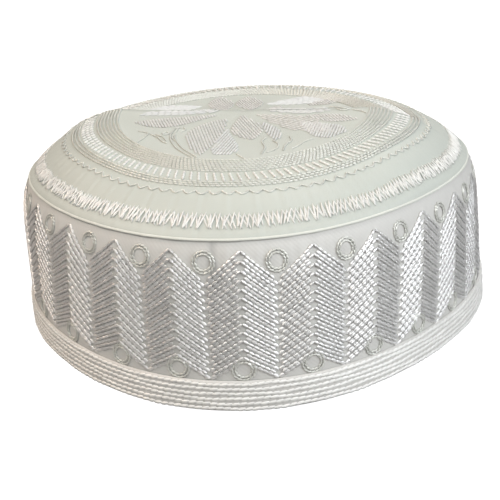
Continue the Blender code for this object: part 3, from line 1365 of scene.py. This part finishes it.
@dataclass
class Crown:
    """The top panel: its cloth, stitched rings, braid, zigzag, rosette and scrolls."""

    shop: Workshop
    flat_radius: float = 93.0 * MM
    cloth_radii: tuple[tuple[float, float, int], ...] = ((2.0, 60.0, 30), (61.5, 88.2, 24))
    puckers: Waves = ((97, 0.07 * MM, 0.7), (151, 0.07 * MM, 2.9), (203, 0.05 * MM, 1.1))
    pucker_radius: float = 70.0 * MM
    pucker_rise: float = 4.0 * MM
    edge_above_seam: float = 0.3 * MM
    rim_width: float = 2.3 * MM
    inner_loop_step: int = 2
    inner_clearance: float = 0.05 * MM
    inner_rim_width: float = 1.0 * MM
    ring_radii: tuple[float, ...] = (50.6, 52.0, 53.4, 54.8, 56.2, 57.6, 59.0, 66.9, 68.2, 69.5)
    ring_beads: int = 230
    ring_shift: float = 0.4
    ring_lift: float = 0.22 * MM
    ring_thread: Thread = Thread(0.0, 1.05 * MM, 1.0 * MM, overlap=0.95, seed=41)
    braid_inner: float = 60.6 * MM
    braid_outer: float = 65.8 * MM
    braid_count: int = 140
    braid_slant: float = math.radians(1.2)
    braid_lift: float = 0.3 * MM
    braid_thread: Thread = Thread(0.0, 1.15 * MM, 0.9 * MM, overlap=1.05, jitter=0.15, seed=43)
    spoke_points: int = 4
    zigzag_inner: float = 81.4 * MM
    zigzag_outer: float = 85.8 * MM
    zigzag_inner_jog: float = 0.5 * MM
    zigzag_outer_jog: float = 0.4 * MM
    zigzag_count: int = 330
    zigzag_thread: Thread = Thread(5.0 * MM, 0.75 * MM, 0.6 * MM, overlap=1.1, seed=47)
    zigzag_strands: tuple[tuple[float, float, float], ...] = (
        # start and end in steps round the crown, lift in millimetres
        (0.0, 0.9, 0.15),
        (1.0, 0.1, 0.4),
    )
    zigzag_lean: float = 0.7
    scallop_radius: float = 73.0 * MM
    scallop_reach: float = 1.1 * MM
    scallop_lift: float = 0.2 * MM
    scallop_points: int = 12
    scallops: int = 100
    fine_thread: Thread = Thread(1.7 * MM, 0.8 * MM, 0.6 * MM, overlap=1.2, seed=53)
    petal_lift: float = 0.18 * MM
    petal_thread: Thread = Thread(2.6 * MM, 1.2 * MM, 0.6 * MM, overlap=1.15, seed=59)
    leaves: tuple[Leaf, ...] = (
        # base, tip, left and right of the axis, angle of the threads
        Leaf((-8.0, 0.0), (-43.0, 0.5), 1.5, 4.5, 20.0),
        Leaf((-9.0, -3.0), (-43.5, -7.0), 8.5, 1.5, 105.0, widest=0.62),
        Leaf((-7.0, -8.0), (-16.0, -44.0), 2.5, 11.0, 100.0, widest=0.45),
        Leaf((-6.0, -13.0), (-9.0, -47.0), 6.0, 4.0, 70.0, widest=0.75, cut=0.93),
        Leaf((-0.5, -4.0), (3.0, -31.5), 5.5, 6.5, 107.0, widest=0.6),
        Leaf((5.0, -5.0), (33.0, -30.0), 8.0, 5.0, 318.0, spacing=1.5),
        Leaf((21.0, -15.0), (36.0, -35.0), 8.0, 6.0, 75.0, widest=0.65, cut=0.9),
        Leaf((24.0, -10.0), (44.0, -18.0), 4.0, 4.0, 110.0),
        Leaf((9.0, -2.0), (35.0, -6.0), 3.0, 3.0, 352.0),
        Leaf((7.0, -13.0), (12.0, -34.0), 4.0, 1.5, 80.0),
        Leaf((-9.0, 25.0), (-11.0, 49.0), 5.5, 5.5, 107.0, widest=0.5),
        Leaf((3.0, 25.0), (2.0, 48.0), 6.0, 6.0, 107.0, widest=0.5),
        Leaf((9.0, 34.0), (41.0, 40.0), 5.0, 6.0, 20.0),
        Leaf((27.0, 29.0), (44.0, 35.0), 4.0, 4.0, 107.0),
        Leaf((-18.0, 35.0), (-42.0, 29.0), 6.0, 5.0, 20.0),
        Leaf((8.0, 4.0), (43.0, 17.0), 6.0, 4.0, 60.0),
        Leaf((-8.0, 6.0), (-40.0, 19.0), 4.0, 6.0, 120.0),
        Leaf((4.0, 8.0), (16.0, 30.0), 4.0, 4.0, 107.0),
        Leaf((-3.0, 8.0), (-20.0, 28.0), 4.0, 4.0, 60.0),
    )
    scroll_points: int = 6
    scroll_lift: float = 0.2 * MM
    scrolls: tuple[tuple[Point, ...], ...] = (
        # points that each scroll, leaf edge or flower passes through
        ((-41.0, -17.0), (-37.0, -19.0), (-38.0, -24.0), (-41.0, -29.5), (-40.0, -33.0), (-35.0, -36.0)),
        ((-36.0, -20.5), (-33.0, -24.0), (-31.0, -28.5), (-29.0, -30.5)),
        ((-34.0, -21.0), (-31.0, -24.0), (-29.5, -28.0)),
        ((-31.5, -20.0), (-29.5, -18.5), (-28.5, -20.5), (-30.5, -22.0), (-31.5, -20.0)),
        ((-27.0, -16.0), (-23.5, -15.0), (-22.5, -18.0), (-24.5, -19.5)),
        ((-26.0, -21.0), (-27.5, -25.0), (-25.5, -29.0)),
        ((-25.5, -15.0), (-26.5, -24.0), (-23.5, -35.0), (-17.5, -45.5)),
        ((-27.0, -16.5), (-28.2, -24.5), (-25.2, -36.0), (-18.5, -46.5)),
        ((6.0, -46.0), (7.5, -40.0), (6.5, -34.0), (8.5, -30.0)),
        ((8.0, -45.0), (11.5, -42.0), (12.5, -37.5), (10.5, -33.5)),
        ((14.0, -44.0), (15.0, -39.0), (17.5, -35.0), (17.0, -30.5)),
        ((17.0, -43.0), (20.0, -40.0), (22.5, -36.5), (25.5, -34.5)),
        ((-3.0, -44.5), (-1.5, -47.5), (0.0, -50.0)),
        ((43.4, -4.0), (41.5, -1.0), (38.5, -1.0), (36.6, -4.0), (38.5, -7.0), (41.5, -7.0), (43.4, -4.0)),
        ((42.0, -4.0), (40.0, -2.0), (38.0, -4.0), (40.0, -6.0), (42.0, -4.0)),
        ((43.0, -7.5), (46.0, -9.5), (48.0, -12.5)),
        ((41.0, 21.0), (36.0, 24.0), (32.0, 22.0), (33.5, 19.0), (37.0, 20.0)),
        ((-42.0, 22.0), (-36.0, 25.0), (-31.0, 23.0), (-32.5, 20.0), (-36.0, 21.0)),
    )

    def make_cloth(self) -> Piece:
        """Make the domed cloth wall with its crease and fine puckers near the edge.

        Returns:
            The cloth.
        """
        form, maker = self.shop.form, self.shop.cloth
        angles = maker.angles
        radii = np.concatenate([np.linspace(*stretch) for stretch in self.cloth_radii]) * MM
        fine = ripples(angles, self.puckers)
        edge = form.seam_height + self.edge_above_seam
        rim = form.seam_radius - self.rim_width
        loops, girths = [], []
        for radius in radii:
            pucker = smooth_step((radius - self.pucker_radius) / self.pucker_rise) * fine
            loops.append(form.plan(radius, form.crown_height(radius, angles) + pucker, angles))
            girths.append(float(radius))
        for radius in (form.seam_radius, rim):
            loops.append(form.plan(radius, edge, angles))
            girths.append(2.0 * form.seam_radius - radius)
        for radius in radii[radii < rim - self.inner_rim_width][:: -self.inner_loop_step]:
            height = form.crown_height(radius, angles) - form.crown_thickness
            height = np.maximum(height, form.crown_rim + self.inner_clearance)
            loops.append(form.plan(radius, height, angles))
            girths.append(2.0 * form.seam_radius - float(radius))
        piece = maker.wall("crown_cloth", loops, girths, closed=False)
        # Painted shade along the crease: the crown cloth's colour is darkened there.
        mark_painted_shade(piece, np.array([form.crease_nearness(vertex.co) for vertex in piece.data.vertices]))
        return self.shop.dress(piece, Slot.CROWN, "crown_panel")

    def lay(self, name: str, book: RowBook, thread: Thread, yarn: Yarn = Yarn.FINE) -> Piece:
        """Lay stitches on the crown's rows."""
        return self.shop.embroider(name, book, thread, yarn, Slot.CROWN)

    def make_rings(self) -> Piece:
        """Make the parallel rings of stitches round the rosette and the braid.

        Returns:
            The stitches.
        """
        book = RowBook(self.shop.form)
        step = FULL_TURN / self.ring_beads
        for ring, radius in enumerate(self.ring_radii):
            angles = step * (np.arange(self.ring_beads) + self.ring_shift * ring)
            book.add_round(radius * MM, angles, self.ring_lift, closed=True)
        return self.lay("crown_rings", book, self.ring_thread)

    def make_braid(self) -> Piece:
        """Make the ring of broad slanted stitches between the rings.

        Returns:
            The stitches.
        """
        book = RowBook(self.shop.form)
        radius = np.linspace(self.braid_inner, self.braid_outer, self.spoke_points)
        slant = self.braid_slant * np.linspace(-0.5, 0.5, self.spoke_points)
        for index in range(self.braid_count):
            book.add_round(radius, FULL_TURN * index / self.braid_count + slant, self.braid_lift)
        return self.lay("crown_braid", book, self.braid_thread, Yarn.CORD)

    def make_zigzag(self) -> Piece:
        """Make the dense zigzag of satin threads on the shoulder.

        Returns:
            The stitches.
        """
        book = RowBook(self.shop.form)
        step = FULL_TURN / self.zigzag_count
        chance = np.random.default_rng(self.zigzag_thread.seed)
        for index in range(self.zigzag_count):
            draws = chance.uniform(-1.0, 1.0, 6)
            for (start, end, lift), lean, low, high in zip(self.zigzag_strands, draws, draws[2:], draws[4:]):
                inner = self.zigzag_inner + self.zigzag_inner_jog * low
                outer = self.zigzag_outer + self.zigzag_outer_jog * high
                radius = np.linspace(inner, outer, self.spoke_points)
                end = end + self.zigzag_lean * lean
                angle = step * (index + np.linspace(start, end, self.spoke_points))
                book.add_round(radius, angle, lift * MM)
        return self.lay("shoulder_zigzag", book, self.zigzag_thread, Yarn.CORD)

    def make_scallops(self) -> Piece:
        """Make the small wavy line between the rings and the shoulder.

        Returns:
            The stitches.
        """
        book = RowBook(self.shop.form)
        angles = np.linspace(0.0, FULL_TURN, self.scallop_points * self.scallops, endpoint=False)
        wave = 2.0 * np.abs(np.sin(angles * self.scallops / 2.0)) - 1.0
        radius = self.scallop_radius + self.scallop_reach * wave
        book.add_round(radius, angles, self.scallop_lift, closed=True)
        return self.lay("crown_scallops", book, self.fine_thread)

    def make_rosette(self) -> Piece:
        """Make the leaves of the rosette, filled with laid threads.

        Returns:
            The stitches.
        """
        book = RowBook(self.shop.form)
        for leaf in self.leaves:
            for row in leaf.rows():
                book.add(Face.CROWN, *row.T, self.petal_lift)
        return self.lay("rosette_leaves", book, self.petal_thread, Yarn.LEAF)

    def make_scrolls(self) -> Piece:
        """Make the scrolls, flowers and sprays between the leaves.

        Returns:
            The stitches.
        """
        book = RowBook(self.shop.form)
        for scroll in self.scrolls:
            line = smooth_line(np.array(scroll), self.scroll_points) * MM
            book.add(Face.CROWN, *line.T, self.scroll_lift)
        return self.lay("rosette_scrolls", book, self.fine_thread)

    def build(self) -> None:
        """Build the crown with its folded edge."""
        cloth = self.make_cloth()
        trims = [
            Piping(self.shop).build(),
            self.make_rings(),
            self.make_braid(),
            self.make_zigzag(),
            self.make_scallops(),
            self.make_rosette(),
            self.make_scrolls(),
        ]


@dataclass(frozen=True)
class Softbox:
    """A square studio light that points at the cap."""

    name: str
    azimuth: float
    elevation: float
    size: float
    power: float
    colour: Colour = WHITE
    distance: float = 1.3


@dataclass
class Studio:
    """The plain floor, the soft lights and the camera."""

    focal_px: float = 965.32
    image_px: float = 500.0
    sensor: float = 36.0
    nearest: float = 0.01
    place: tuple[float, float, float] = (-0.000314, -0.381666, 0.176238)
    pitch: float = math.radians(22.5527)
    yaw: float = math.radians(-0.3806)
    roll: float = math.radians(2.6854)
    target: tuple[float, float, float] = (0.0, 0.0, 0.04)
    lights: tuple[Softbox, ...] = (
        Softbox("key", 31.0, 36.0, 0.35, 6.0),
        Softbox("front_high", -14.0, 48.0, 0.4, 3.0, (1.0, 1.0, 0.97)),
        Softbox("left_high", -60.0, 50.0, 0.4, 5.6, (1.0, 0.93, 0.84)),
        Softbox("left_warm", -100.0, 45.0, 0.4, 4.6, (1.0, 0.74, 0.56)),
        Softbox("right_low", 68.0, 26.0, 0.4, 7.0, (0.94, 0.97, 1.0)),
        Softbox("back", 160.0, 50.0, 0.8, 5.2, (1.0, 1.0, 0.97)),
    )
    world_strength: float = 0.05
    floor_half: float = 4.0
    floor_shade: float = 0.35
    floor_roughness: float = 0.9
    floor_glow: float = 0.95

    def make_camera(self) -> None:
        """Place the camera at the photograph's angle."""
        level = math.cos(self.pitch)
        forward = Vector((math.sin(self.yaw) * level, math.cos(self.yaw) * level, -math.sin(self.pitch)))
        sideways = Vector((math.cos(self.yaw), -math.sin(self.yaw), 0.0))
        upright = sideways.cross(forward)
        right = math.cos(self.roll) * sideways - math.sin(self.roll) * upright
        up = math.sin(self.roll) * sideways + math.cos(self.roll) * upright
        turn = Matrix((right, up, -forward)).transposed()
        data = bpy.data.cameras.new("camera")
        data.sensor_width = self.sensor
        data.lens = self.focal_px / self.image_px * self.sensor
        data.clip_start = self.nearest
        camera = add_object("camera", data)
        camera.matrix_world = Matrix.Translation(self.place) @ turn.to_4x4()
        bpy.context.scene.camera = camera

    def make_light(self, box: Softbox) -> None:
        """Place one softbox.

        Args:
            box: the light's place, size, power and colour.
        """
        azimuth, elevation = math.radians(box.azimuth), math.radians(box.elevation)
        level = math.cos(elevation)
        away = Vector((math.sin(azimuth) * level, -math.cos(azimuth) * level, math.sin(elevation)))
        data = bpy.data.lights.new(box.name, "AREA")
        data.size = box.size
        data.energy = box.power
        data.color = box.colour
        light = add_object(box.name, data)
        light.location = Vector(self.target) + away * box.distance
        light.rotation_mode = "QUATERNION"
        light.rotation_quaternion = (-away).to_track_quat("-Z", "Y")

    def make_floor(self) -> None:
        """Make the plain pale floor, which shows white whatever falls on it."""
        half = self.floor_half
        mesh = bpy.data.meshes.new("floor")
        corners = [(-half, -half, 0.0), (half, -half, 0.0), (half, half, 0.0), (-half, half, 0.0)]
        mesh.from_pydata(corners, [], [(0, 1, 2, 3)])
        floor = add_object("floor", mesh)
        material = bpy.data.materials.new("floor_paper")
        material.use_nodes = True
        nodes = NodeTree(material.node_tree)
        seen = nodes.add("ShaderNodeLightPath").outputs["Is Camera Ray"]
        paper = {
            "Base Color": (self.floor_shade,) * 3,
            "Roughness": self.floor_roughness,
            "Emission Color": nodes.blend(seen, BLACK, WHITE),
            "Emission Strength": self.floor_glow,
        }
        for socket, source in paper.items():
            nodes.feed(material.node_tree.nodes["Principled BSDF"].inputs[socket], source)
        mesh.materials.append(material)

    def make_world(self) -> None:
        """Make the even light of the room."""
        world = bpy.data.worlds.new("room")
        world.use_nodes = True
        background = world.node_tree.nodes["Background"]
        background.inputs["Color"].default_value = (*WHITE, 1.0)
        background.inputs["Strength"].default_value = self.world_strength
        bpy.context.scene.world = world
        bpy.context.scene.view_settings.view_transform = "Standard"

    def build(self) -> None:
        """Build the whole studio."""
        self.make_camera()
        self.make_floor()
        self.make_world()
        for box in self.lights:
            self.make_light(box)


def make_materials() -> dict[Enum, Material]:
    """Build every finish.

    Returns:
        The materials by slot or yarn.
    """
    kit = ShaderKit()
    # The four satins are one white cloth set to different tones to offset how the lamps fall on each piece:
    # painted shade on the crown, which is set darker, and painted light on the hem and piping, which are set
    # lighter.
    satins = {
        # slot: name, light colour, deep colour, and roughness where it differs
        Slot.BAND: ("band_satin", (0.67, 0.67, 0.65), (0.59, 0.59, 0.57)),
        Slot.HEM: ("hem_satin", (0.72, 0.71, 0.69), (0.62, 0.61, 0.59)),
        Slot.PIPING: ("piping_satin", (0.74, 0.76, 0.71), (0.66, 0.68, 0.63), 0.45),
        Slot.CROWN: ("crown_satin", (0.58, 0.614, 0.573), (0.527, 0.56, 0.52)),
    }
    threads = {
        # yarn: light colour, deep colour, roughness, metallic
        Yarn.SATIN: ((0.96, 0.96, 0.96), (0.80, 0.80, 0.80), 0.4, 0.82),
        Yarn.FINE: ((0.80, 0.81, 0.77), (0.69, 0.70, 0.66), 0.4, 0.45),
        Yarn.LEAF: ((0.83, 0.84, 0.83), (0.71, 0.72, 0.72), 0.6, 0.45),
        Yarn.CORD: ((0.93, 0.93, 0.91), (0.80, 0.80, 0.78), 0.45, 0.2),
    }
    finishes: dict[Enum, Finish] = {slot: ClothFinish(*satin) for slot, satin in satins.items()}
    finishes |= {yarn: ThreadFinish(yarn.value, *looks) for yarn, looks in threads.items()}
    return {use: finish.make(kit) for use, finish in finishes.items()}


def main() -> None:
    """Build the studio and the cap, piece by piece."""
    logging.basicConfig(level=logging.INFO, format="%(name)s %(message)s")
    Studio().build()
    form = CapForm()
    shop = Workshop(form, ClothMesh(form), StitchTree(), make_materials())
    for part in (SideBand(shop), Hem(shop), Crown(shop)):
        LOG.info("building %s", type(part).__name__)
        part.build()


if __name__ == "__main__":
    main()
